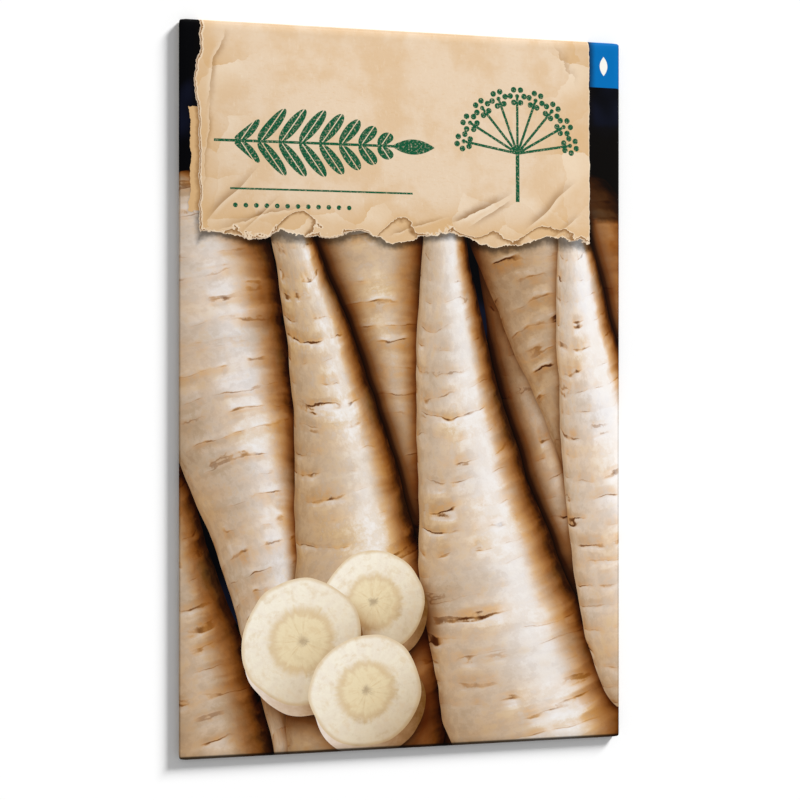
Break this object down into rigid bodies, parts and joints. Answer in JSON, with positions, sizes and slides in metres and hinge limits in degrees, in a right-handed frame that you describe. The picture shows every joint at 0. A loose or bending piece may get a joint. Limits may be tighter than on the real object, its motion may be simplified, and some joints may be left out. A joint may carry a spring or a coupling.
{
  "type": "seed packet",
  "caption": "Flat sealed paper seed packet with a printed picture front, folded and glued seam and end flaps, and loose root-vegetable seeds inside.",
  "frame": {"origin": "on the table under the middle of the packet, which lies on its back", "axes": "+Y up the packet towards its top flap, +X across it to the right as its front is read, +Z out of the printed front"},
  "size_m": [0.102, 0.16, 0.003],
  "materials": {
    "printed_paper": "smooth coated paper, satin, printed on its outer side",
    "adhesive": "dried glue film",
    "seed_husk": "dry papery husk"
  },
  "bodies": {
    "root": {"paper_envelope": "printed_paper", "glue_side_seam": "adhesive", "glue_top_flap": "adhesive", "glue_bottom_flap": "adhesive", "seeds": "seed_husk"}
  },
  "joints": []
}
